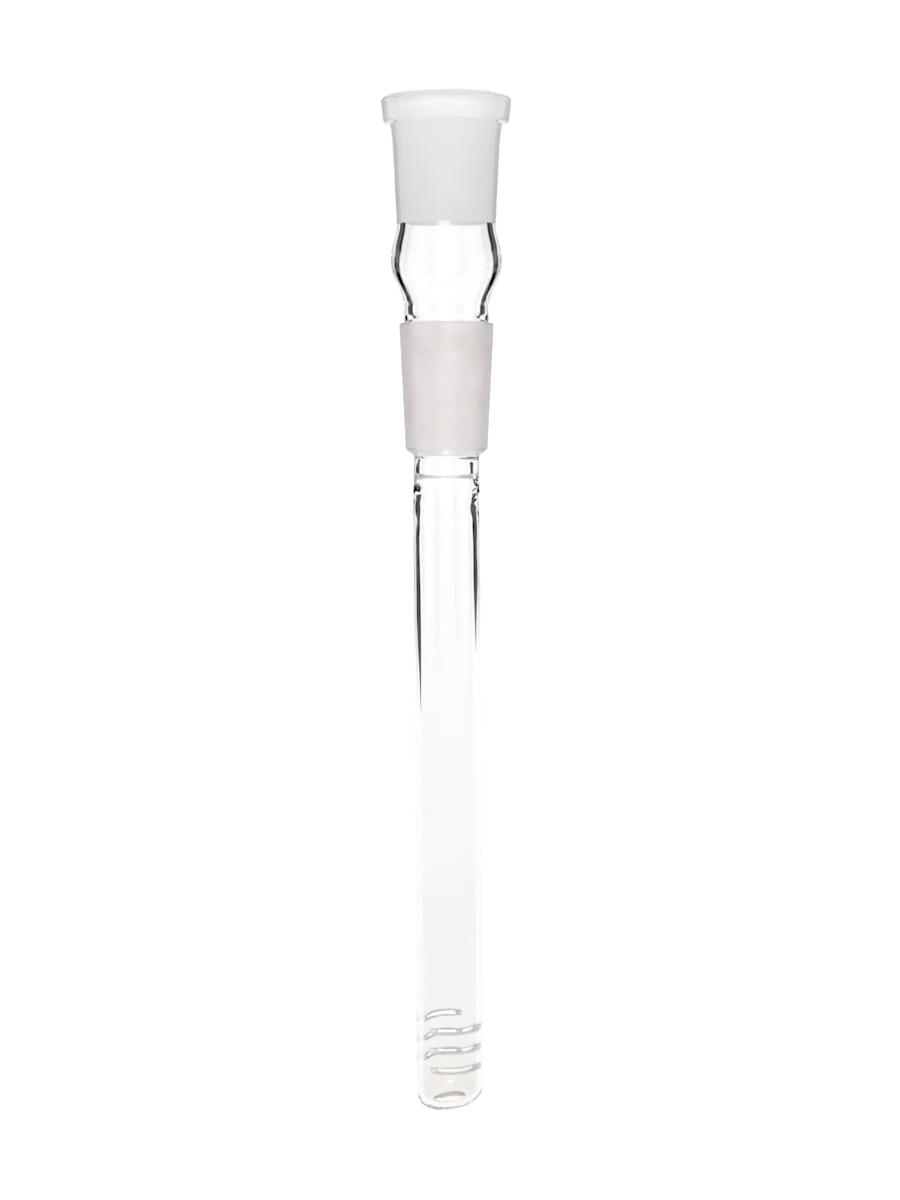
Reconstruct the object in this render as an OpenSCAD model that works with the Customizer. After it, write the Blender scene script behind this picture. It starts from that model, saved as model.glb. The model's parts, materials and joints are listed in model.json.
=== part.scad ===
// Slotted glass inlet stem with two ground joints: a socket above a blown bulb, a cone below it,
// and a long stem tube with saw-cut slits near its open tip. All seams are flame-fused.
// The origin is the centre of the cone's large end. +Z runs up towards the socket's mouth,
// and -Y is the front.

/* [Ground joints] */
// Large-end diameter of the cone and of the socket's inside
joint_d = 18.8; // [18:0.1:20]
// Length of the ground zone inside the socket
socket_ground_len = 25; // [20:1:30]
// Length of the ground zone outside the cone
cone_ground_len = 24.6; // [20:0.2:30]
// Loss of diameter for each millimetre along a ground zone
joint_taper = 0.1; // [0.08:0.01:0.12]
// Wall at the small end of the cone
cone_wall = 1.8; // [1.4:0.1:2.2]
// Wall of the socket, the same all along its taper
socket_wall = 1.8; // [1.4:0.1:2]

/* [Rim] */
// Largest diameter of the rolled rim
rim_d = 26.2; // [25.6:0.1:28]
// Height of the rolled rim
rim_h = 5.5; // [4:0.1:7]
// Diameter lost down the rim's side
rim_draft = 0.9; // [0.2:0.1:1.2]
// Radius of the rim's outer edge
rim_round = 1; // [0.6:0.1:1.2]
// Radius of the rim's lower edge and of the mouth's lead-in
rim_soft = 0.8; // [0.4:0.1:0.9]

/* [Bulb] */
// Clear length between the two ground zones
bulb_len = 20; // [18:1:26]
// Largest diameter of the bulb
bulb_d = 22.2; // [21:0.1:26]
// Wall at the bulb's widest place
bulb_wall = 1.6; // [1.2:0.1:2]
// Diameter of the plain tube between the bulb and the cone
waist_d = 16.9; // [16:0.1:17.4]
// Wall of that tube
waist_wall = 1.8; // [1.4:0.1:2]

/* [Stem] */
// Distance from the cone's small end to the tip
stem_len = 131.6; // [80:0.2:180]
// Outer diameter of the stem tube
stem_d = 13.3; // [12:0.1:14]
// Wall of the stem tube
stem_wall = 1.3; // [1:0.1:1.6]
// Outer diameter of the short shank under the cone
shank_d = 13.1; // [12:0.1:13.2]
// Wall of that shank
shank_wall = 1.6; // [1.2:0.05:1.8]
// Length of the shank, from the cone's ground end to the weld
shank_len = 4.9; // [4.5:0.1:8]
// Length of tube that the weld runs over
bead_h = 4; // [3:0.1:6]

/* [Slits] */
// Number of levels, with one slit on each side at each level
slit_levels = 3; // [1:1:6]
// Distance between levels
slit_pitch = 3.9; // [2.5:0.1:6]
// Height of one saw cut
slit_h = 1.05; // [0.6:0.05:1.6]
// Depth of one saw cut, measured inwards from the tube's surface
slit_depth = 2.7; // [2.4:0.1:4]
// Height of the lowest front slit's centre above the tip
slit_first = 8.5; // [6:0.1:12]
// Bearing of the front slits, turned from the front towards +X
slit_bearing = 17; // [0:1:90]
// Turn about the axis from the front slits to the back ones
slit_turn = 191; // [165:1:195]
// How much higher the back slits are than the front ones
slit_back_rise = 0.1; // [0:0.1:1]

/* [Tip] */
// Diameter of the opening that the flame leaves in the tip
tip_hole_d = 6.0; // [5:0.1:7]
// Height over which the tube's end is drawn in
tip_h = 3; // [2.5:0.1:4]

/* [Hidden] */
$fn = 96;
CURVE_STEPS = 8;
FILLET_STEPS = 4;
// How much larger a cutting shape is than what it cuts
OVERSHOOT = 2;
CLEAR = [0.86, 0.92, 0.93, 0.45];
GROUND = [0.9, 0.89, 0.87, 1];

// Radii
joint_r = joint_d / 2;
cone_end_r = joint_r - cone_ground_len * joint_taper / 2;
stem_r = stem_d / 2;
stem_bore_r = stem_r - stem_wall;
shank_r = shank_d / 2;
shank_bore_r = shank_r - shank_wall;
waist_r = waist_d / 2;
waist_bore_r = waist_r - waist_wall;
waist_foot_r = waist_bore_r + 0.4;
bulb_r = bulb_d / 2;
rim_r = rim_d / 2;
rim_low_r = rim_r - rim_draft / 2;
mouth_r = joint_r + rim_soft;

// Heights of the seams and ends, from the origin
rim_above_gauge = 0.2;
waist_above_cone = 0.6;
socket_gauge_z = bulb_len + socket_ground_len;
rim_top_z = socket_gauge_z + rim_above_gauge;
rim_seam_z = rim_top_z - rim_h;
waist_seam_z = waist_above_cone;
cone_end_z = -cone_ground_len;
bead_top_z = cone_end_z - shank_len;
bead_low_z = bead_top_z - bead_h;
tip_z = cone_end_z - stem_len;
tip_seam_z = tip_z + tip_h;

// Heights between which the bulb's walls swell out from the waist, as parts of its length
swell_out = [0.16, 0.62];
inner_swell_out = [0.13, 0.59];
// Heights above which they draw in towards the socket
swell_in = 0.7;
inner_swell_in = 0.63;

// Outline points run as [radius, height].
function ease(t) = t * t * (3 - 2 * t);
function between(a, b, t) = a + (b - a) * t;

// A soft S-shaped change of radius between two points
function ramp(a, b, steps = CURVE_STEPS) = [
    for (i = [0:steps]) [between(a[0], b[0], ease(i / steps)), between(a[1], b[1], i / steps)]
];

// A circular arc about a centre, in degrees
function arc(centre, r, from, to, steps = CURVE_STEPS) = [
    for (i = [0:steps])
        let (a = between(from, to, i / steps))
        centre + r * [cos(a), sin(a)]
];

// Inside radius of the socket's ground taper, and outside radius of its wall, at a height
function socket_bore_r(z) = joint_r - (socket_gauge_z - z) * joint_taper / 2;
function socket_r(z) = socket_bore_r(z) + socket_wall;

// The socket's wall thickens a little where it meets the rim.
rim_flare = 0.3;
flare_h = 5;
rim_neck_r = socket_r(rim_seam_z) + rim_flare;

module lathe(outer, inner) {
    rotate_extrude() polygon(concat(outer, [for (i = [len(inner) - 1:-1:0]) inner[i]]));
}

// Thick rolled collar around the socket's mouth
module socket_rim() {
    under_rise = 0.1;
    under_start = -80;
    outer = concat(
        [[rim_neck_r, rim_seam_z]],
        arc([rim_low_r - rim_soft, rim_seam_z + rim_soft + under_rise], rim_soft, under_start, 0),
        arc([rim_r - rim_round, rim_top_z - rim_round], rim_round, 0, 90)
    );
    lead_in = [mouth_r, rim_top_z - rim_soft];
    inner = concat(
        [[socket_bore_r(rim_seam_z), rim_seam_z]],
        arc(lead_in, rim_soft, 180, 90)
    );
    color(CLEAR) lathe(outer, inner);
}

// Tapered tube, ground on the inside down to the small end of its taper
module socket_body() {
    flare_z = rim_seam_z - flare_h;
    outer = concat(
        [[socket_r(bulb_len), bulb_len]],
        [for (i = [0:CURVE_STEPS])
            let (z = between(flare_z, rim_seam_z, i / CURVE_STEPS))
            [socket_r(z) + rim_flare * pow(i / CURVE_STEPS, 2), z]]
    );
    inner = [
        [socket_bore_r(bulb_len), bulb_len],
        [socket_bore_r(rim_seam_z), rim_seam_z]
    ];
    color(GROUND) lathe(outer, inner);
}

// Clear swelling blown between the two ground joints, with the plain waist below it. The bore
// flares at the foot, where it meets the cone's.
module bulb() {
    foot_h = 1.5;
    outer = concat(
        [[waist_r, waist_seam_z]],
        ramp([waist_r, swell_out[0] * bulb_len], [bulb_r, swell_out[1] * bulb_len]),
        ramp([bulb_r, swell_in * bulb_len], [socket_r(bulb_len), bulb_len])
    );
    bore_r = bulb_r - bulb_wall;
    inner = concat(
        ramp([waist_foot_r, waist_seam_z], [waist_bore_r, waist_seam_z + foot_h], FILLET_STEPS),
        ramp([waist_bore_r, inner_swell_out[0] * bulb_len], [bore_r, inner_swell_out[1] * bulb_len]),
        ramp([bore_r, inner_swell_in * bulb_len], [socket_bore_r(bulb_len), bulb_len])
    );
    color(CLEAR) lathe(outer, inner);
}

// Male cone, ground on the outside between its shoulder and its small end. Its bore is widest
// below the shoulder and narrows to meet the waist.
module cone_joint() {
    edge = 0.35;
    fillet = waist_above_cone - edge;
    outer = concat(
        [[cone_end_r, cone_end_z]],
        arc([joint_r - edge, 0], edge, 0, 90),
        arc([waist_r + fillet, waist_seam_z], fillet, 270, 180, FILLET_STEPS)
    );
    widest_z = -6;
    widest_bore_r = (joint_r + waist_r) / 2 - cone_wall;
    inner = concat(
        [[cone_end_r - cone_wall, cone_end_z]],
        ramp([widest_bore_r, widest_z], [waist_foot_r, waist_seam_z])
    );
    color(GROUND) lathe(outer, inner);
}

// Clear shank that the cone is drawn down to, with its soft sloping shoulder
module cone_shank() {
    shoulder_h = 1.8;
    throat_h = 2.4;
    outer = concat(
        [[shank_r, bead_top_z]],
        ramp([shank_r, cone_end_z - shoulder_h], [cone_end_r, cone_end_z])
    );
    inner = concat(
        [[shank_bore_r, bead_top_z]],
        ramp([shank_bore_r, cone_end_z - throat_h], [cone_end_r - cone_wall, cone_end_z])
    );
    color(CLEAR) lathe(outer, inner);
}

// Ring of fused glass that joins the shank to the stem, with its bore blown a little wider
module weld_bead() {
    bead_swell = 0.35;
    waist_in = 0.1;
    middle_z = (bead_top_z + bead_low_z) / 2;
    inner_flat = [0.5, 0.8];
    outer = concat(
        [[stem_r, bead_low_z]],
        ramp([stem_r - waist_in, middle_z], [shank_r, bead_top_z])
    );
    bore_r = stem_bore_r + bead_swell;
    inner = concat(
        ramp([stem_bore_r, bead_low_z], [bore_r, middle_z + inner_flat[0]]),
        ramp([bore_r, middle_z + inner_flat[1]], [shank_bore_r, bead_top_z])
    );
    color(CLEAR) lathe(outer, inner);
}

// One saw cut through the front of the tube wall, level and straight across
module slit(z) {
    reach = stem_r - slit_depth;
    width = stem_d + OVERSHOOT;
    translate([-width / 2, -width / 2, z - slit_h / 2])
        cube([width, width / 2 - reach, slit_h]);
}

// Long plain tube with opposed rows of saw cuts near its lower end
module stem_tube() {
    color(CLEAR)
    difference() {
        translate([0, 0, tip_seam_z]) cylinder(h = bead_low_z - tip_seam_z, r = stem_r);
        translate([0, 0, tip_seam_z - OVERSHOOT / 2])
            cylinder(h = bead_low_z - tip_seam_z + OVERSHOOT, r = stem_bore_r);
        for (level = [0:slit_levels - 1]) {
            z = tip_z + slit_first + level * slit_pitch;
            rotate([0, 0, slit_bearing]) slit(z);
            rotate([0, 0, slit_bearing + slit_turn]) slit(z + slit_back_rise);
        }
    }
}

// A quarter of an ellipse about [lip_x, tip_seam_z], from straight below it to straight out
function drawn_in(lip_x, wide, high, first = 0) = [
    for (i = [first:CURVE_STEPS])
        let (a = between(-90, 0, i / CURVE_STEPS))
        [lip_x + wide * cos(a), tip_seam_z + high * sin(a)]
];

// The tube's end, drawn in by the flame at an even wall, with a round lip at its opening
module stem_tip() {
    lip_r = stem_wall / 2;
    lip_x = tip_hole_d / 2 + lip_r;
    lip_start = 255;
    outer = drawn_in(lip_x, stem_r - lip_x, tip_h);
    inner = concat(
        arc([lip_x, tip_z + lip_r], lip_r, lip_start, 90),
        drawn_in(lip_x, stem_bore_r - lip_x, tip_h - stem_wall, first = 1)
    );
    color(CLEAR) lathe(outer, inner);
}

socket_rim();
socket_body();
bulb();
cone_joint();
cone_shank();
weld_bead();
stem_tube();
stem_tip();
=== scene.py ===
"""A slotted glass inlet stem with two ground joints, in clear and ground glass.

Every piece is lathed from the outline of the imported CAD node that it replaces, so its place and
size are the frame's. Blender adds what a glassblower leaves: a fused seam that hardly shows,
a wavy weld, a bore a little off centre, chipped saw cuts and a tip that isn't quite square.
"""

import json
import math

import bpy
from mathutils import Matrix, Vector, noise

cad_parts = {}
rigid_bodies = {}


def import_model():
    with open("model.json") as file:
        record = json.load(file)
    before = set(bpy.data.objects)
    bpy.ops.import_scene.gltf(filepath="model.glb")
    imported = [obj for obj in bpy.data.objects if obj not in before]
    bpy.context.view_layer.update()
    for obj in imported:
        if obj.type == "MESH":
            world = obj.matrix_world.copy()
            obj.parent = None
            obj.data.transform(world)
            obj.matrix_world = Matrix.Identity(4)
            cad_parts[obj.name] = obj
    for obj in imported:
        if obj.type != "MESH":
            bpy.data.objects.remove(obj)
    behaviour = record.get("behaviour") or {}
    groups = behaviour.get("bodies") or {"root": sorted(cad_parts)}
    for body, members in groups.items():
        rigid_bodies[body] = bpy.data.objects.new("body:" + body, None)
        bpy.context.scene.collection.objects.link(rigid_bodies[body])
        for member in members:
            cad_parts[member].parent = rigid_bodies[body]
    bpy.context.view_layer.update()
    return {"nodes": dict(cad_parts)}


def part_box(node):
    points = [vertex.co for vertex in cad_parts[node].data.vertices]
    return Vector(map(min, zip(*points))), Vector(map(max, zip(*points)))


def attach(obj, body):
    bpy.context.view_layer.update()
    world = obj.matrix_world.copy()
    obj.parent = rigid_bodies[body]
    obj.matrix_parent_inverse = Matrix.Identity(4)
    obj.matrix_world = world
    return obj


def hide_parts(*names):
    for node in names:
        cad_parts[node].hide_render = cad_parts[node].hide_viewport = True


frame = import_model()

MM = 0.001
AROUND = 192  # vertices in each ring of a lathed piece
SAME_POINT = 0.004 * MM  # outline points nearer than this are one point
CORNER = math.radians(28)  # an outline that turns more than this has an edge there
FINE = 0.25 * MM  # length of the steps along a worked wall
COARSE = 1.5 * MM  # and along a plain one
WELD_REACH = 15 * MM
GLASS_IOR = 1.473

bulb_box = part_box("bulb")
cone_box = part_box("cone_joint")
bead_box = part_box("weld_bead")
tube_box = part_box("stem_tube")
tip_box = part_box("stem_tip")

cone_end_z = cone_box[0].z
shank_end_z = bead_box[1].z
tip_z = tip_box[0].z
stem_r = tube_box[1].x


# ---------------------------------------------------------------- outlines

def cad_outline(node):
    """The node's outline, a loop of (radius, height) that starts up its outer wall."""
    mesh = frame["nodes"][node].data
    points, place = [], []
    for v in mesh.vertices:
        here = (math.hypot(v.co.x, v.co.y), v.co.z)
        found = next((k for k, p in enumerate(points) if math.dist(p, here) < SAME_POINT), None)
        if found is None:
            found = len(points)
            points.append(here)
        place.append(found)
    beside = {k: set() for k in range(len(points))}
    for edge in mesh.edges:
        a, b = (place[k] for k in edge.vertices)
        if a != b:
            beside[a].add(b)
            beside[b].add(a)
    low = min(p[1] for p in points)
    start = max((k for k, p in enumerate(points) if p[1] < low + SAME_POINT), key=lambda k: points[k][0])
    loop = [start, max(beside[start], key=lambda k: points[k][0] + points[k][1])]
    while len(loop) < len(points):
        loop.append((beside[loop[-1]] - {loop[-2]}).pop())
    return [points[k] for k in loop]


def tube_outline():
    """The plain stem's outline: its outer wall, then its bore, between its two seams."""
    mesh = frame["nodes"]["stem_tube"].data
    low, high = tube_box[0].z, tube_box[1].z
    bore_r = min(math.hypot(v.co.x, v.co.y) for v in mesh.vertices if v.co.z > high - SAME_POINT)
    return [(stem_r, low), (stem_r, high), (bore_r, high), (bore_r, low)]


def slit_facts():
    """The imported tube's saw cuts, as (middle height, own height, bearing from the front in
    degrees, distance of the floor from the axis). Bearings grow to the right."""
    low, high = tube_box[0].z, tube_box[1].z
    outside = [v.co for v in frame["nodes"]["stem_tube"].data.vertices
               if low + SAME_POINT < v.co.z < high - SAME_POINT
               and math.hypot(v.co.x, v.co.y) > stem_r - SAME_POINT]
    cuts = []
    for side, turn in ((-1, 0), (1, 180)):
        edges = [co for co in outside if co.y * side > 0]
        bearings = [math.degrees(math.atan2(-side * co.x, side * co.y)) for co in edges]
        middle, half = (max(bearings) + min(bearings)) / 2, (max(bearings) - min(bearings)) / 2
        floor = stem_r * math.cos(math.radians(half))
        levels = sorted({round(co.z, 6) for co in edges})
        cuts += [((a + b) / 2, b - a, middle + turn, floor) for a, b in zip(levels[::2], levels[1::2])]
    return cuts


def unit(a, b):
    d = (b[0] - a[0], b[1] - a[1])
    length = math.hypot(*d)
    return (d[0] / length, d[1] / length)


def smooth_outline(loop, step):
    """The loop with its round stretches drawn as curves and its straight ones cut into steps.
    Each point is (radius, height, number of the CAD segment that it starts)."""
    count = len(loop)
    ahead = [unit(loop[k], loop[(k + 1) % count]) for k in range(count)]
    long = [math.dist(loop[k], loop[(k + 1) % count]) for k in range(count)]

    def tangents(k):
        """The curve's direction into and out of a point, which differ at an edge."""
        before, after = ahead[k - 1], ahead[k]
        turn = math.acos(max(-1, min(1, before[0] * after[0] + before[1] * after[1])))
        if turn > CORNER:
            return before, after
        if long[k - 1] > 3 * long[k]:
            return before, before
        if long[k] > 3 * long[k - 1]:
            return after, after
        both = [before[i] * long[k] + after[i] * long[k - 1] for i in (0, 1)]
        size = math.hypot(*both)
        return (both[0] / size, both[1] / size), (both[0] / size, both[1] / size)

    def straight_places(low, high, step):
        """Parts of the way up a straight stretch, close together only near the weld."""
        places, z = [], low
        toward = 1 if high > low else -1
        while (high - z) * toward > step / 2 or z == low:
            places.append((z - low) / (high - low) if high != low else 0)
            near = abs(z - shank_end_z) < WELD_REACH
            z += toward * (step if near else max(step, COARSE))
        return places

    made = []
    for k in range(count):
        a, b = loop[k], loop[(k + 1) % count]
        leave, arrive = tangents(k)[1], tangents((k + 1) % count)[0]
        bent = math.acos(max(-1, min(1, leave[0] * arrive[0] + leave[1] * arrive[1])))
        if is_seam(a, b):
            places = [0]
        elif bent > math.radians(1):
            parts = max(math.ceil(bent / math.radians(4)), math.ceil(long[k] / step))
            places = [i / parts for i in range(parts)]
        else:
            places = straight_places(a[1], b[1], step)
        for t in places:
            h = (2 * t**3 - 3 * t**2 + 1, t**3 - 2 * t**2 + t, 3 * t**2 - 2 * t**3, t**3 - t**2)
            made.append(tuple(
                h[0] * a[j] + h[1] * leave[j] * long[k] + h[2] * b[j] + h[3] * arrive[j] * long[k]
                for j in (0, 1)
            ) + (k,))
    return made


SEAMS = [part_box(n)[0].z for n in frame["nodes"] if n != "stem_tip"]


def is_seam(a, b):
    """True for the flat end face where two pieces are fused."""
    return any(abs(a[1] - z) < SAME_POINT and abs(b[1] - z) < SAME_POINT for z in SEAMS)


# ---------------------------------------------------------------- the glassblower's hand

def ease(low, high, x):
    """0 below low, 1 above high, and smooth between."""
    t = max(0.0, min(1.0, (x - low) / (high - low)))
    return t * t * (3 - 2 * t)


def window(a, b, c, d, x):
    """Rises from a to b, stays at 1, and falls from c to d."""
    return ease(a, b, x) * (1 - ease(c, d, x))


# Folds that the flame left in the weld: bearing from the front and depth below the cone at
# each end of the fold, then its height and width in mm. Bearings grow to the right.
WELD_FOLDS = [
    (-42, 6.5, 12, 6.3, 0.020, 0.22),
    (-7, 9.0, 2, 9.4, 0.020, 0.16),
    (2, 9.4, -9, 10.8, 0.020, 0.16),
    (-9, 10.8, -38, 11.9, 0.018, 0.20),
    (-60, 8.2, -50, 7.6, 0.06, 0.30),
    (60, 6.2, 84, 7.4, 0.08, 0.30),
    (58, 10.0, 84, 8.6, 0.07, 0.30),
]
# Soft lumps on the bore: bearing, depth below the cone, height, width in degrees, width in mm
BORE_LUMPS = [
    (90, 7.6, 0.30, 45, 1.1),
    (88, 11.6, -0.25, 35, 1.5),
    (-88, 7.4, 0.18, 50, 1.0),
    (-84, 9.6, -0.12, 35, 0.9),
]


BORE_ASIDE = 0.30 * MM  # how far the shank's bore lies off its centre
ASKEW = 0.10 * MM  # how far the stem's top is pushed to the left by the weld
LEAN = 0.46 * MM  # how far the tip stands to the right
TIP_TILT = math.radians(7)  # how far the end is out of square


def fold_height(bearing, depth, fold):
    """How high a fold stands at a place on the wall."""
    b0, d0, b1, d1, height, width = fold
    across = stem_r / MM * math.radians(1)
    px, py = (bearing - b0) * across, depth - d0
    ex, ey = (b1 - b0) * across, d1 - d0
    t = max(0.0, min(1.0, (px * ex + py * ey) / (ex * ex + ey * ey)))
    away = math.hypot(px - t * ex, py - t * ey) / width
    return height * math.exp(-away * away)


def worked(point, share):
    """Where a point of the turned glass ends up on the hand-made one, as (x, y, z).
    share runs from 0 on the bore to 1 on the outside."""
    r, angle, z = math.hypot(point.x, point.y), math.atan2(point.y, point.x), point.z
    c, s = math.cos(angle), math.sin(angle)
    bearing = (math.degrees(angle) + 90 + 180) % 360 - 180
    depth = (cone_end_z - z) / MM
    weld = window(0.3, 3.0, 14.0, 19.0, depth)
    around = Vector((c, s, 0))

    def drift(size, tall, seed):
        """Smooth noise over the wall, whose bore and outside wander apart."""
        place = around * size + Vector((0, 0, z / tall + seed))
        return share * noise.noise(place) + (1 - share) * noise.noise(place + Vector((0, 0, 40)))

    r += MM * 0.022 * drift(2.2, 11 * MM, 0) * ease(1.0, 9.0, depth)
    if weld:
        r += MM * weld * (0.03 * share + 0.05 * (1 - share)) * drift(3.1, 2.6 * MM, 7)
        r += MM * weld * share * sum(fold_height(bearing, depth, f) for f in WELD_FOLDS)
        for b, d, height, turn, tall in BORE_LUMPS:
            reach = ((bearing - b + 180) % 360 - 180) / turn
            r += MM * weld * (1 - share) * height * math.exp(-reach**2 - ((depth - d) / tall) ** 2)
    x, y = r * c, r * s
    # the shank's bore is off its centre, and the stem leaves the weld a little askew
    x -= BORE_ASIDE * (1 - share) * window(1.2, 3.0, 6.0, 9.5, depth)
    x += LEAN * ease(4.0, 150.0, depth) - ASKEW * window(0, 12.0, 16.0, 30.0, depth)
    # the end was nipped off a little out of square
    tilt = 1 - ease(0, 6 * MM, z - tip_z)
    z += math.tan(TIP_TILT) * x * tilt
    return (x, y, z)


# ---------------------------------------------------------------- meshes

def new_piece(name, vertices, faces, kinds, materials):
    """An object in the scene. kinds holds each face's place in the list of materials."""
    mesh = bpy.data.meshes.new(name)
    mesh.from_pydata(vertices, [], faces)
    for material in materials:
        mesh.materials.append(material)
    mesh.polygons.foreach_set("material_index", kinds)
    piece = bpy.data.objects.new(name, mesh)
    bpy.context.scene.collection.objects.link(piece)
    return piece


def lathe(name, loop, material_of, materials, step):
    """A closed turned piece, and each vertex's share: 1 on the outside and 0 on the bore.
    material_of gives a segment's material by its two ends."""
    rows = smooth_outline(loop, step)
    vertices, faces, kinds, shares = [], [], [], []
    for k, (r, z, segment) in enumerate(rows):
        a, b = loop[segment], loop[(segment + 1) % len(loop)]
        seam = is_seam(a, b)
        rises = a[1] > loop[segment - 1][1] if seam else b[1] > a[1]
        shares += [float(rises)] * AROUND
        low, high = k * AROUND, (k + 1) % len(rows) * AROUND
        kind = 0 if seam else material_of(a, b)
        for i in range(AROUND):
            angle, j = 2 * math.pi * i / AROUND, (i + 1) % AROUND
            vertices.append((r * math.cos(angle), r * math.sin(angle), z))
            faces.append((low + i, low + j, high + j, high + i))
            kinds.append(kind)
    return new_piece(name, vertices, faces, kinds, materials), shares


def finish_piece(piece, shares, node):
    """Gives the piece its hand-made shape and shading, and puts it in its CAD node's place."""
    mesh = piece.data
    for v, share in zip(mesh.vertices, shares):
        v.co = worked(v.co, share)
    mesh.validate()
    mesh.polygons.foreach_set("use_smooth", [True] * len(mesh.polygons))
    mesh.set_sharp_from_angle(angle=CORNER)
    mesh.update()
    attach(piece, "root")
    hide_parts(node)


SAW_HALF_WIDTH, SAW_REACH = 7.6 * MM, 4.2 * MM  # both run past the stem's wall
WORN = 0.5 * MM  # the blade's edge is rounded over this depth
CHIPPED = 0.34 * MM  # depth of the chipped zone under the stem's outside


def saw(middle, height, bearing, floor):
    """The glass that one saw cut takes out: a slab across the tube, rounded at its floor like the
    worn blade, with a chipped, ragged edge where the blade broke through the outside. It is
    drawn along u and outwards along v."""
    turn = math.radians(bearing)
    columns, rows = 90, 26
    vertices, faces = [], []

    def lip(u, v, seed):
        """How much of the edge above or below the cut broke away at this place."""
        out = math.hypot(u, v) - (stem_r - CHIPPED)
        ragged = noise.noise(Vector((u / (0.55 * MM), seed, 0)))
        chip = max(0, noise.noise(Vector((u / (1.3 * MM), seed + 9.5, 0))) - 0.25)
        wavy = 0.035 * noise.noise(Vector((u / (1.1 * MM), v / (1.1 * MM), seed)))
        return MM * (wavy + ease(0, CHIPPED, out) * (0.10 + 0.07 * ragged + 0.45 * chip))

    for side in (-1, 1):
        for j in range(rows + 1):
            out = SAW_REACH * (j / rows) ** 2
            worn = math.sqrt(1 - max(0, 1 - out / WORN) ** 2)
            for i in range(columns + 1):
                u, v = SAW_HALF_WIDTH * (2 * i / columns - 1), floor + out
                half_height = height / 2 * (0.3 + 0.7 * worn)
                z = middle + side * (half_height + lip(u, v, middle / MM + 3 * side))
                x = v * math.sin(turn) - u * math.cos(turn)
                y = -v * math.cos(turn) - u * math.sin(turn)
                vertices.append((x, y, z))
    count = (rows + 1) * (columns + 1)

    def at(half, i, j):
        return half * count + j * (columns + 1) + i

    for j in range(rows):
        for i in range(columns):
            under = (at(0, i, j), at(0, i, j + 1), at(0, i + 1, j + 1), at(0, i + 1, j))
            faces += [under, tuple(k + count for k in reversed(under))]
    for i in range(columns):
        faces.append((at(0, i, 0), at(0, i + 1, 0), at(1, i + 1, 0), at(1, i, 0)))
        faces.append((at(0, i + 1, rows), at(0, i, rows), at(1, i, rows), at(1, i + 1, rows)))
    for j in range(rows):
        faces.append((at(0, 0, j + 1), at(0, 0, j), at(1, 0, j), at(1, 0, j + 1)))
        end = [at(0, columns, j), at(0, columns, j + 1), at(1, columns, j + 1), at(1, columns, j)]
        faces.append(tuple(end))
    return new_piece("saw", vertices, faces, [2] * len(faces), [SEAM, CLEAR, SAW_CUT])


def cut(piece, saws):
    """Takes the saws' slabs out of the piece."""
    for blade in saws:
        boolean = piece.modifiers.new("cut", "BOOLEAN")
        boolean.operation = "DIFFERENCE"
        boolean.solver = "EXACT"
        boolean.object = blade
    bpy.context.view_layer.update()
    evaluated = piece.evaluated_get(bpy.context.evaluated_depsgraph_get())
    mesh = bpy.data.meshes.new_from_object(evaluated)
    piece.modifiers.clear()
    piece.data = mesh
    for blade in saws:
        bpy.data.objects.remove(blade)


# ---------------------------------------------------------------- materials

def new_material(name):
    """An empty material with its output and its texture coordinates."""
    material = bpy.data.materials.new(name)
    material.use_nodes = True
    nodes, links = material.node_tree.nodes, material.node_tree.links
    nodes.clear()
    out = nodes.new("ShaderNodeOutputMaterial")
    where = nodes.new("ShaderNodeTexCoord")
    return material, nodes, links, out, where


def noise_node(nodes, links, where, scale, detail=2.0, stretch=(1, 1, 1)):
    """Noise over the object's own coordinates, in features per metre, stretched by axis."""
    mapping = nodes.new("ShaderNodeMapping")
    mapping.inputs["Scale"].default_value = stretch
    links.new(where.outputs["Object"], mapping.inputs["Vector"])
    node = nodes.new("ShaderNodeTexNoise")
    node.inputs["Scale"].default_value = scale
    node.inputs["Detail"].default_value = detail
    links.new(mapping.outputs["Vector"], node.inputs["Vector"])
    return node


def ramp_node(nodes, links, source, stops):
    """Colours the source: each stop is (place from 0 to 1, colour)."""
    ramp = nodes.new("ShaderNodeValToRGB")
    band = ramp.color_ramp
    while len(band.elements) < len(stops):
        band.elements.new(0.5)
    for element, (place, colour) in zip(band.elements, stops):
        element.position = place
        element.color = (*colour, 1)
    links.new(source, ramp.inputs["Fac"])
    return ramp


def bump_node(nodes, links, source, strength, distance):
    """Relief from the source, whose full height is the distance in metres."""
    bump = nodes.new("ShaderNodeBump")
    bump.inputs["Strength"].default_value = strength
    bump.inputs["Distance"].default_value = distance
    links.new(source, bump.inputs["Height"])
    return bump


def math_node(nodes, links, operation, *sources):
    """The operation on its sources, each of which is a number or another node's output."""
    node = nodes.new("ShaderNodeMath")
    node.operation = operation
    for place, source in enumerate(sources):
        if isinstance(source, (int, float)):
            node.inputs[place].default_value = source
        else:
            links.new(source, node.inputs[place])
    return node.outputs["Value"]


def fade_node(nodes, links, source, span, result=(0, 1)):
    """Goes from result's first number to its second as the source crosses the span."""
    node = nodes.new("ShaderNodeMapRange")
    for name, value in zip(("From Min", "From Max", "To Min", "To Max"), (*span, *result)):
        node.inputs[name].default_value = value
    links.new(source, node.inputs["Value"])
    return node.outputs["Result"]


def height_of(nodes, links, where):
    """The height of the shaded place in the piece's own coordinates."""
    split = nodes.new("ShaderNodeSeparateXYZ")
    links.new(where.outputs["Object"], split.inputs["Vector"])
    return split.outputs["Z"]


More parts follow.
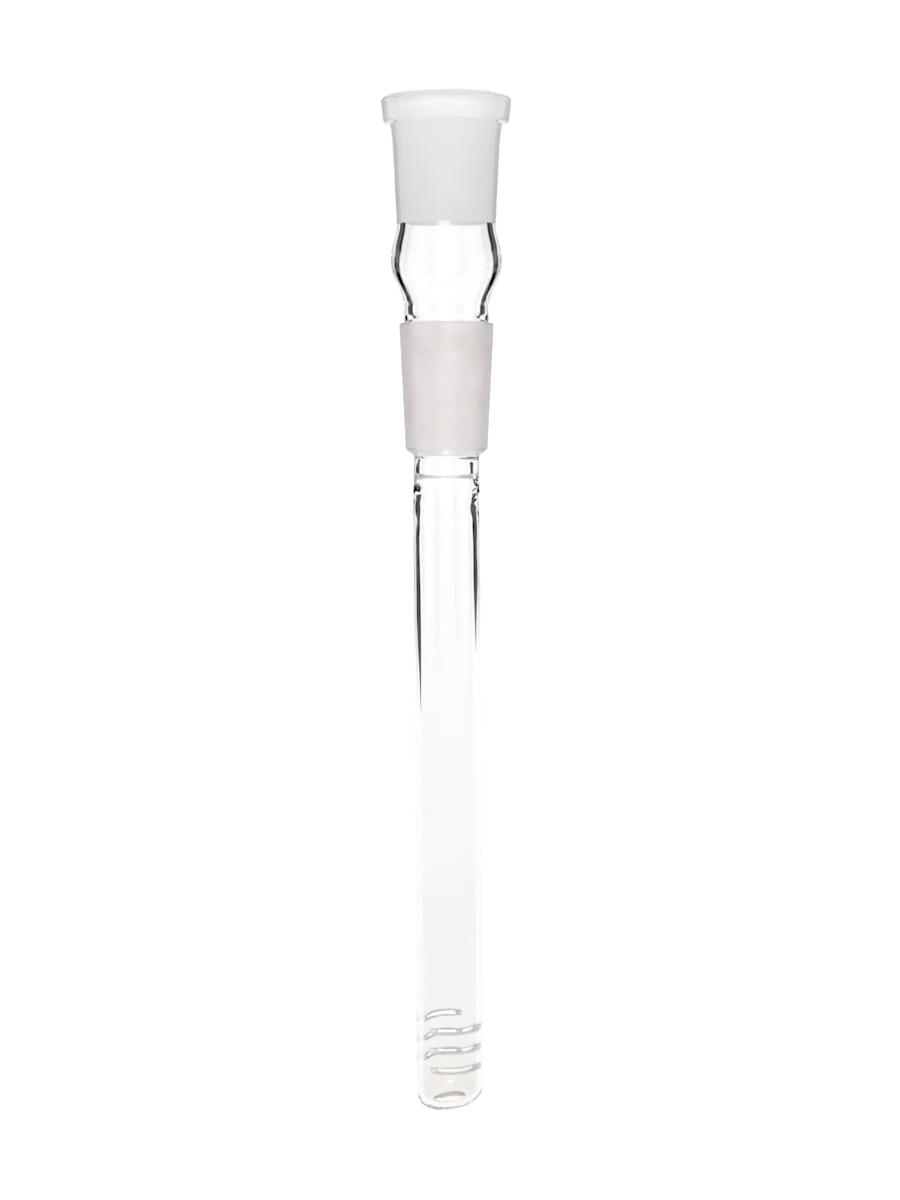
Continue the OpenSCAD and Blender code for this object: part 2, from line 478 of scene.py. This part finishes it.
def glass_colours_and_painted_shade(nodes, links, where):
    """The colour that light takes on its way through, with painted shade that greys it down the stem and
    more grey near the tip, and the part that inner mirrors keep.
    """
    height = height_of(nodes, links, where)
    # painted shade: the colour that light takes greys from 6 mm above the weld to 90 mm below it
    down = fade_node(nodes, links, height, (shank_end_z + 6 * MM, shank_end_z - 90 * MM), (0, 0.6))
    near_tip = fade_node(nodes, links, height, (tip_z + 14 * MM, tip_z + 2 * MM), (0, 0.4))
    cloud = noise_node(nodes, links, where, 45, 2)
    # random mottled tone of the glass, plus the painted shade down the stem
    stem_cloud_and_painted_shade = math_node(nodes, links, "MULTIPLY_ADD", cloud.outputs["Fac"], 0.3, down)
    grey = math_node(nodes, links, "ADD", stem_cloud_and_painted_shade, near_tip)
    # the colour passed through, with the painted shade in it
    through = ramp_node(nodes, links, grey, [(0.12, (0.993, 0.992, 0.994)),
                                             (0.65, (0.973, 0.972, 0.972)),
                                             (1.0, (0.957, 0.951, 0.944))])
    mirrored = ramp_node(nodes, links, near_tip, [(0.0, (0.983, 0.983, 0.983)), (0.4, (1.0, 1.0, 1.0))])
    return through.outputs["Color"], mirrored.outputs["Color"]


def clear_glass():
    """Flame-polished borosilicate: faint draw lines along the tube and a breath of colour. Painted shade
    makes it a little greyer down the stem, and it grows greyer and warmer in the tip. Light that passes
    through takes it."""
    material, nodes, links, out, where = new_material("clear_glass")
    draw_lines = noise_node(nodes, links, where, 420, 3, stretch=(1, 1, 0.06))
    bump = bump_node(nodes, links, draw_lines.outputs["Fac"], 0.25, 0.00001)
    # colour carries the painted shade that greys the glass down the stem
    colour, mirrored = glass_colours_and_painted_shade(nodes, links, where)
    through = nodes.new("ShaderNodeBsdfRefraction")
    through.inputs["IOR"].default_value = GLASS_IOR
    through.inputs["Roughness"].default_value = 0.0
    links.new(colour, through.inputs["Color"])
    links.new(bump.outputs["Normal"], through.inputs["Normal"])
    mirror = nodes.new("ShaderNodeBsdfGlossy")
    mirror.inputs["Roughness"].default_value = 0.0
    links.new(mirrored, mirror.inputs["Color"])
    links.new(bump.outputs["Normal"], mirror.inputs["Normal"])
    fresnel = nodes.new("ShaderNodeFresnel")
    fresnel.inputs["IOR"].default_value = GLASS_IOR
    links.new(bump.outputs["Normal"], fresnel.inputs["Normal"])
    blend = nodes.new("ShaderNodeMixShader")
    links.new(fresnel.outputs["Fac"], blend.inputs["Fac"])
    links.new(through.outputs["BSDF"], blend.inputs[1])
    links.new(mirror.outputs["BSDF"], blend.inputs[2])
    links.new(blend.outputs["Shader"], out.inputs["Surface"])
    return material


def fused_seam():
    """Inside a fused seam there is only more glass, so its face is not seen."""
    material, nodes, links, out, _ = new_material("fused_seam")
    through = nodes.new("ShaderNodeBsdfTransparent")
    links.new(through.outputs["BSDF"], out.inputs["Surface"])
    return material


def ground_glass(name, pale, deep, roughness, chalk):
    """Glass ground with fine grit: a milky surface with soft mottling and a fine tooth.
    chalk is the milky part of it, from 0 to 1."""
    material, nodes, links, out, where = new_material(name)
    grit = noise_node(nodes, links, where, 5200, 4)
    lines = noise_node(nodes, links, where, 900, 3, stretch=(0.12, 0.12, 3))
    tooth = math_node(nodes, links, "ADD", grit.outputs["Fac"], lines.outputs["Fac"])
    bump = bump_node(nodes, links, tooth, 0.35, 0.00003)
    mottle = noise_node(nodes, links, where, 130, 5)
    colour = ramp_node(nodes, links, mottle.outputs["Fac"], [(0.32, deep), (0.66, pale)])
    gloss = fade_node(nodes, links, mottle.outputs["Fac"], (0, 1), (roughness * 0.9, roughness * 1.1))
    glass = nodes.new("ShaderNodeBsdfGlass")
    glass.inputs["IOR"].default_value = GLASS_IOR
    links.new(colour.outputs["Color"], glass.inputs["Color"])
    links.new(gloss, glass.inputs["Roughness"])
    links.new(bump.outputs["Normal"], glass.inputs["Normal"])
    milk = nodes.new("ShaderNodeMixShader")
    for place, kind in ((1, "ShaderNodeBsdfTranslucent"), (2, "ShaderNodeBsdfDiffuse")):
        side = nodes.new(kind)
        links.new(colour.outputs["Color"], side.inputs["Color"])
        links.new(bump.outputs["Normal"], side.inputs["Normal"])
        links.new(side.outputs["BSDF"], milk.inputs[place])
    blend = nodes.new("ShaderNodeMixShader")
    blend.inputs["Fac"].default_value = chalk
    links.new(glass.outputs["BSDF"], blend.inputs[1])
    links.new(milk.outputs["Shader"], blend.inputs[2])
    links.new(blend.outputs["Shader"], out.inputs["Surface"])
    return material


CLEAR = clear_glass()
SEAM = fused_seam()
SOCKET_GROUND = ground_glass("socket_ground_glass", (1.0, 0.996, 0.99), (0.985, 0.975, 0.965), 0.5, 0.9)
CONE_GROUND = ground_glass("cone_ground_glass", (0.93, 0.91, 0.904), (0.845, 0.82, 0.81), 0.5, 0.55)
SAW_CUT = ground_glass("saw_cut_glass", (0.99, 0.97, 0.96), (0.93, 0.90, 0.88), 0.5, 0.85)


# ---------------------------------------------------------------- pieces

def faces_in(a, b):
    """True where a segment of the outline looks towards the axis."""
    return b[1] < a[1]


def steep(a, b):
    """True for a wall, and False for a shoulder, a floor or a rounded edge."""
    return abs(b[0] - a[0]) < 0.5 * abs(b[1] - a[1])


def plain(a, b):
    """The place of clear glass in a piece's materials, for every segment."""
    return 1


def ground_inside(a, b):
    """Ground glass on the bore, clear glass elsewhere."""
    return 2 if faces_in(a, b) and steep(a, b) else 1


def ground_outside(a, b):
    """Ground glass on the outer wall below the seat, clear glass elsewhere."""
    return 2 if not faces_in(a, b) and steep(a, b) and max(a[1], b[1]) < 0.05 * MM else 1


def turned(node, material_of, ground, step):
    """Lathes a node from its outline and finishes it."""
    piece, shares = lathe("glass_" + node, cad_outline(node), material_of, [SEAM, CLEAR, ground], step)
    finish_piece(piece, shares, node)


turned("socket_rim", ground_inside, SOCKET_GROUND, COARSE)
turned("socket_body", ground_inside, SOCKET_GROUND, COARSE)
turned("bulb", plain, SAW_CUT, COARSE)
turned("cone_joint", ground_outside, CONE_GROUND, COARSE)
turned("cone_shank", plain, SAW_CUT, FINE)
turned("weld_bead", plain, SAW_CUT, FINE)
turned("stem_tip", plain, SAW_CUT, FINE)

bare_stem = tube_outline()
stem, _ = lathe("glass_stem_tube", bare_stem, plain, [SEAM, CLEAR, SAW_CUT], FINE)
cut(stem, [saw(*facts) for facts in slit_facts()])
bore_r = bare_stem[-1][0]
depths = [(math.hypot(v.co.x, v.co.y) - bore_r) / (stem_r - bore_r) for v in stem.data.vertices]
shares = [max(0.0, min(1.0, depth)) for depth in depths]
finish_piece(stem, shares, "stem_tube")


# ---------------------------------------------------------------- stage

# SIDE_WALL, HORIZON and OVERHEAD say how far sideways or up a direction points, from 0 to 1
ROOM_LIGHT = 1.05
SIDE_WALL_LIGHT = 0.45
SIDE_WALL = (0.4, 0.95)  # the room grows greyer across this band
HORIZON = (0, 0.2)  # but not at the horizon: the grey comes in across this band above it
OVERHEAD_LIGHT = 0.42  # on top of the room's
OVERHEAD = (0.4, 1)
LAMP_WIDTH, LAMP_WATTS = 0.5, 4.0
LAMP_PLACE = Vector((-0.08, -0.9, 0.25))
LAMP_AIM = Vector((0, 0, -0.05))
FLAG_DISTANCE = 200 * MM
FLAG_FROM, FLAG_TO = 27, 56  # degrees either side of straight back, or of straight ahead
FLAG_TOP_Z = 130 * MM
FLAG_PALES_FROM_Z, FLAG_PALES_TO_Z = 18 * MM, 45 * MM
BLACK_CARD = (0.003, 0.06)  # brightness low down and high up
GREY_CARD = (0.45, 0.5)


def flag_card(name, low, high):
    """Dark card, a little paler higher up. It shows only in light that the glass has mirrored,
    so it doesn't fill clear glass in front of it, and it lets the room light the milky surfaces."""
    material, nodes, links, out, where = new_material(name)
    height = height_of(nodes, links, where)
    dark = fade_node(nodes, links, height, (FLAG_PALES_FROM_Z, FLAG_PALES_TO_Z), (low, high))
    path = nodes.new("ShaderNodeLightPath")
    not_mirrored = math_node(nodes, links, "LESS_THAN", path.outputs["Glossy Depth"], 0.5)
    scattered = math_node(nodes, links, "GREATER_THAN", path.outputs["Diffuse Depth"], 0.5)
    lit = math_node(nodes, links, "MAXIMUM", not_mirrored, scattered)
    glow = nodes.new("ShaderNodeEmission")
    links.new(dark, glow.inputs["Color"])
    room = nodes.new("ShaderNodeEmission")
    room.inputs["Strength"].default_value = ROOM_LIGHT
    blend = nodes.new("ShaderNodeMixShader")
    links.new(lit, blend.inputs["Fac"])
    links.new(glow.outputs["Emission"], blend.inputs[1])
    links.new(room.outputs["Emission"], blend.inputs[2])
    links.new(blend.outputs["Shader"], out.inputs["Surface"])
    material.cycles.emission_sampling = "NONE"
    return material


def flag(name, middle, mirror, low_edge, card_material):
    """A dark card outside the picture, which draws the dark lines in clear glass. Its middle is
    0 behind the glass and 180 in front, mirror is -1 or 1 for its side, and low_edge gives the
    height in mm of its lower edge across its width, from 0 to 1."""
    steps = 24
    vertices, faces = [], []
    for i in range(steps + 1):
        t = i / steps
        a = math.radians(middle + mirror * (FLAG_FROM + (FLAG_TO - FLAG_FROM) * t))
        x, y = math.sin(a) * FLAG_DISTANCE, math.cos(a) * FLAG_DISTANCE
        vertices += [(x, y, low_edge(t) * MM), (x, y, FLAG_TOP_Z)]
        if i:
            faces.append((2 * i - 2, 2 * i, 2 * i + 1, 2 * i - 1))
    mesh = bpy.data.meshes.new(name)
    mesh.from_pydata(vertices, [], faces)
    mesh.materials.append(card_material)
    card = bpy.data.objects.new(name, mesh)
    bpy.context.scene.collection.objects.link(card)
    card.visible_camera = False
    card.visible_diffuse = False
    card.visible_shadow = False
    card.visible_glossy = middle == 0  # a front card would show in the outside's reflections


EYE = Vector((0.67 * MM, -380 * MM, bulb_box[0].z - 11.4 * MM))  # where the camera stands
LOOK_DOWN, ROLL = math.radians(1.15), math.radians(-0.10)
LENS, VIEW_SHIFT = 57.1, -0.1523  # shifted down, because the stem hangs far below the eye

# the lower edges stand where the dark lines fade out down the stem, the left one lower
back_card = flag_card("black_card", *BLACK_CARD)
front_card = flag_card("grey_card", *GREY_CARD)
for place, middle, card in (("back", 0, back_card), ("front", 180, front_card)):
    flag(f"flag_{place}_left", middle, -1, lambda t: -85 - 27 * t, card)
    flag(f"flag_{place}_right", middle, 1, lambda t: -70 - 24 * (1 - abs(2 * t - 1)), card)


def white_floor():
    """A plain pale floor, well below the stem, which hangs clear of it."""
    material, nodes, links, out, where = new_material("pale_floor")
    grain = noise_node(nodes, links, where, 3, 2)
    colour = ramp_node(nodes, links, grain.outputs["Fac"],
                       [(0.3, (0.93, 0.93, 0.93)), (0.7, (0.95, 0.95, 0.95))])
    matte = nodes.new("ShaderNodeBsdfDiffuse")
    links.new(colour.outputs["Color"], matte.inputs["Color"])
    links.new(matte.outputs["BSDF"], out.inputs["Surface"])
    half, low = 6.0, tip_z - 110 * MM
    mesh = bpy.data.meshes.new("pale_floor")
    mesh.from_pydata([(-half, -half, low), (half, -half, low), (half, half, low), (-half, half, low)],
                     [], [(0, 1, 2, 3)])
    mesh.materials.append(material)
    floor = bpy.data.objects.new("pale_floor", mesh)
    bpy.context.scene.collection.objects.link(floor)


def studio():
    """A white room, greyer at its sides and brighter overhead."""
    world = bpy.data.worlds.new("white_studio")
    world.use_nodes = True
    nodes, links = world.node_tree.nodes, world.node_tree.links
    direction = nodes.new("ShaderNodeTexCoord")
    split = nodes.new("ShaderNodeSeparateXYZ")
    links.new(direction.outputs["Generated"], split.inputs["Vector"])
    sideways = math_node(nodes, links, "ABSOLUTE", split.outputs["X"])
    side_wall = fade_node(nodes, links, sideways, SIDE_WALL, (ROOM_LIGHT, SIDE_WALL_LIGHT))
    above = fade_node(nodes, links, split.outputs["Z"], HORIZON)
    above.node.interpolation_type = "SMOOTHSTEP"
    wall = nodes.new("ShaderNodeMix")
    wall.inputs["A"].default_value = ROOM_LIGHT
    links.new(above, wall.inputs["Factor"])
    links.new(side_wall, wall.inputs["B"])
    overhead = fade_node(nodes, links, split.outputs["Z"], OVERHEAD, (0, OVERHEAD_LIGHT))
    light = math_node(nodes, links, "ADD", wall.outputs["Result"], overhead)
    nodes["Background"].inputs["Color"].default_value = (1, 1, 1, 1)
    links.new(light, nodes["Background"].inputs["Strength"])
    bpy.context.scene.world = world


def soft_lamp():
    """A soft lamp high in front, which lights the glass and leaves the floor alone."""
    lamp = bpy.data.lights.new("soft_front", "AREA")
    lamp.shape = "DISK"
    lamp.size = LAMP_WIDTH
    lamp.energy = LAMP_WATTS
    light = bpy.data.objects.new("soft_front", lamp)
    bpy.context.scene.collection.objects.link(light)
    light.location = LAMP_PLACE
    light.rotation_euler = (LAMP_AIM - LAMP_PLACE).to_track_quat("-Z", "Y").to_euler()
    light.visible_glossy = False
    lit = bpy.data.collections.new("lit_by_the_lamp")
    for piece in bpy.context.scene.objects:
        if piece.name.startswith("glass_"):
            lit.objects.link(piece)
    light.light_linking.receiver_collection = lit


def camera():
    """Level with the ground cone, looking a little down, and rolled by a hair."""
    data = bpy.data.cameras.new("camera")
    data.sensor_width = 36
    data.lens = LENS
    data.shift_y = VIEW_SHIFT
    data.clip_start, data.clip_end = 0.01, 20
    eye = bpy.data.objects.new("camera", data)
    bpy.context.scene.collection.objects.link(eye)
    aim = Matrix.Rotation(math.pi / 2 - LOOK_DOWN, 4, "X") @ Matrix.Rotation(ROLL, 4, "Z")
    eye.matrix_world = Matrix.Translation(EYE) @ aim
    bpy.context.scene.camera = eye


white_floor()
studio()
soft_lamp()
camera()

scene = bpy.context.scene
scene.view_settings.view_transform = "Standard"
scene.view_settings.use_curve_mapping = True
scene.view_settings.curve_mapping.black_level = (0.08, 0.08, 0.08)
scene.view_settings.curve_mapping.update()
scene.cycles.max_bounces = 96
scene.cycles.transmission_bounces = 96
scene.cycles.glossy_bounces = 96
scene.cycles.diffuse_bounces = 16
scene.cycles.transparent_max_bounces = 32
